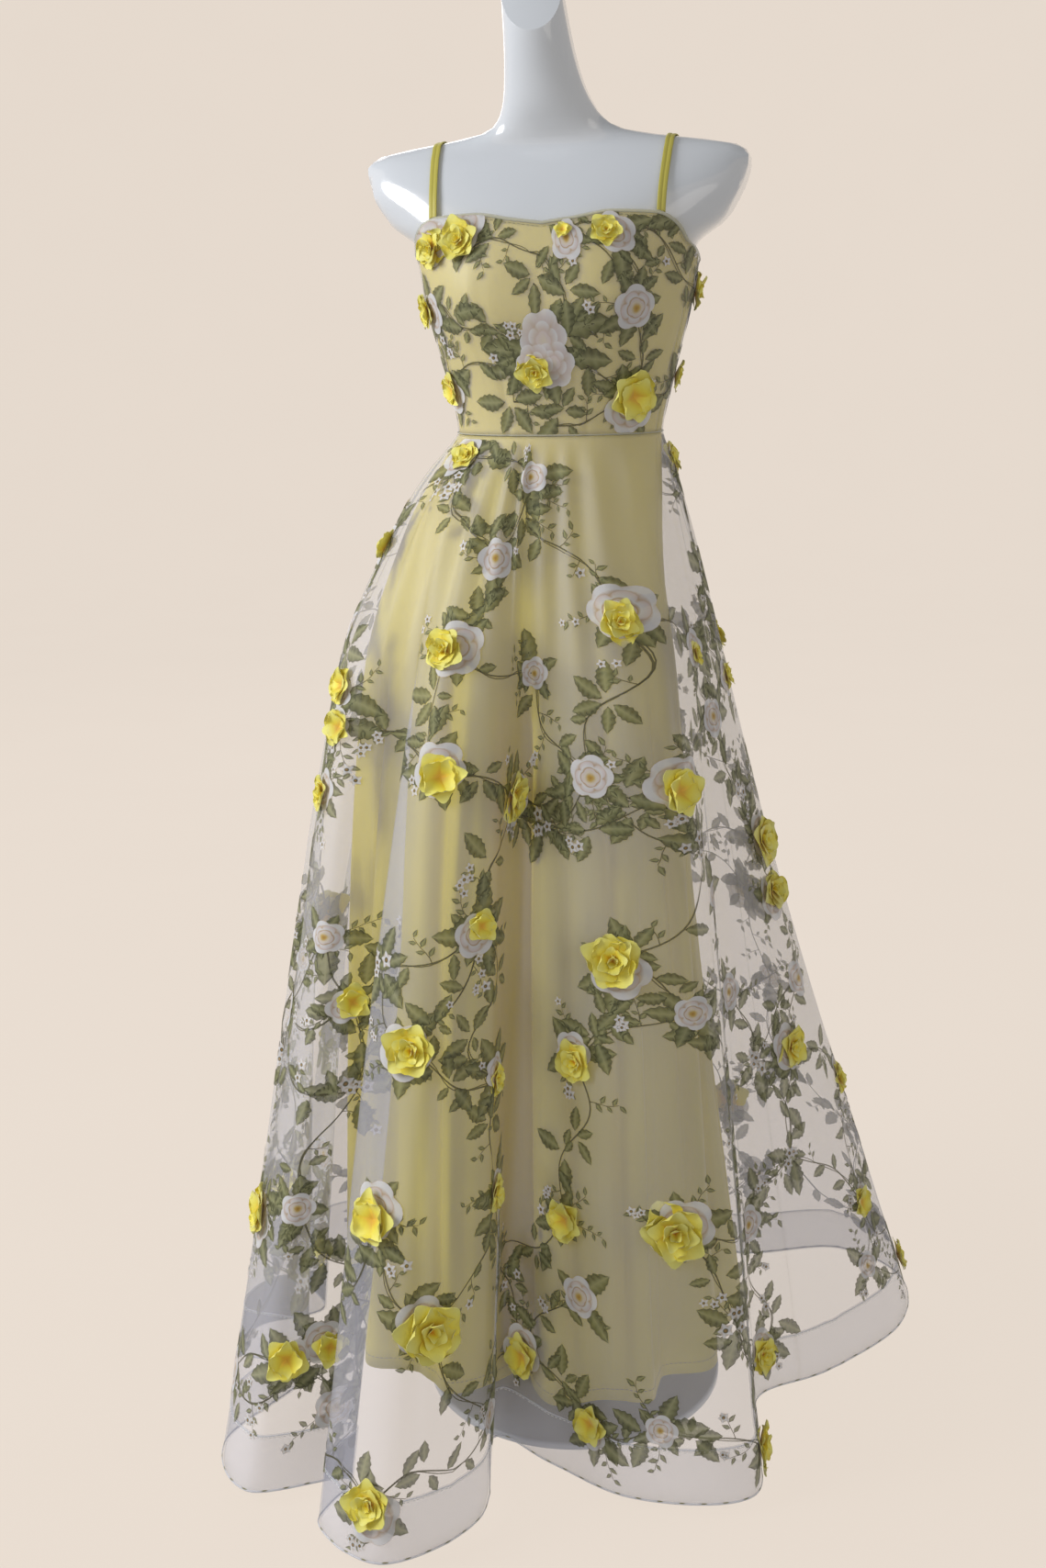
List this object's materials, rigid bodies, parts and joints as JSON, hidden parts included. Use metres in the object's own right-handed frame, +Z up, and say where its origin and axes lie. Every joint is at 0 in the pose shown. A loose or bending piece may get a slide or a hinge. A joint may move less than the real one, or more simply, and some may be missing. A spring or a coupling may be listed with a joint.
{
  "type": "a-line maxi dress on a dress form",
  "caption": "Sleeveless floor-length A-line dress, satin under sheer organza with cloth blooms, worn by a limbless dress form on a round stand.",
  "frame": {"origin": "centre of the stand's underside, on the floor", "axes": "+Z up along the stand's pole, -Y the way the dress faces, +X towards the wearer's left"},
  "size_m": [0.7688, 0.7873, 1.5997],
  "materials": {
    "satin": "pale gold satin",
    "organza": "sheer printed organza",
    "strap_satin": "olive gold satin",
    "gloss_white": "glossy white",
    "lacquered_steel": "white lacquer",
    "zip_metal": "gold lacquer"
  },
  "bodies": {
    "dress": {"bodice_lining_front": "satin", "bodice_lining_back_left": "satin", "bodice_lining_back_right": "satin", "bodice_overlay_front": "organza", "bodice_overlay_back_left": "organza", "bodice_overlay_back_right": "organza", "skirt_lining_front": "satin", "skirt_lining_back_left": "satin", "skirt_lining_back_right": "satin", "skirt_overlay_front": "organza", "skirt_overlay_back_left": "organza", "skirt_overlay_back_right": "organza", "hem_facing_front": "organza", "hem_facing_back_left": "organza", "hem_facing_back_right": "organza", "strap_left": "strap_satin", "strap_right": "strap_satin", "zip_slider": "zip_metal", "form_torso": "gloss_white", "form_pole": "lacquered_steel", "form_base": "lacquered_steel"},
    "pull": {"zip_pull": "zip_metal"}
  },
  "joints": [
    {"name": "zip_pull_swing", "type": "hinge", "parent": "dress", "child": "pull", "pos_m": [0, 0.11278, 1.23725], "axis": [1, 0, 0], "range_deg": [0, 170]}
  ]
}
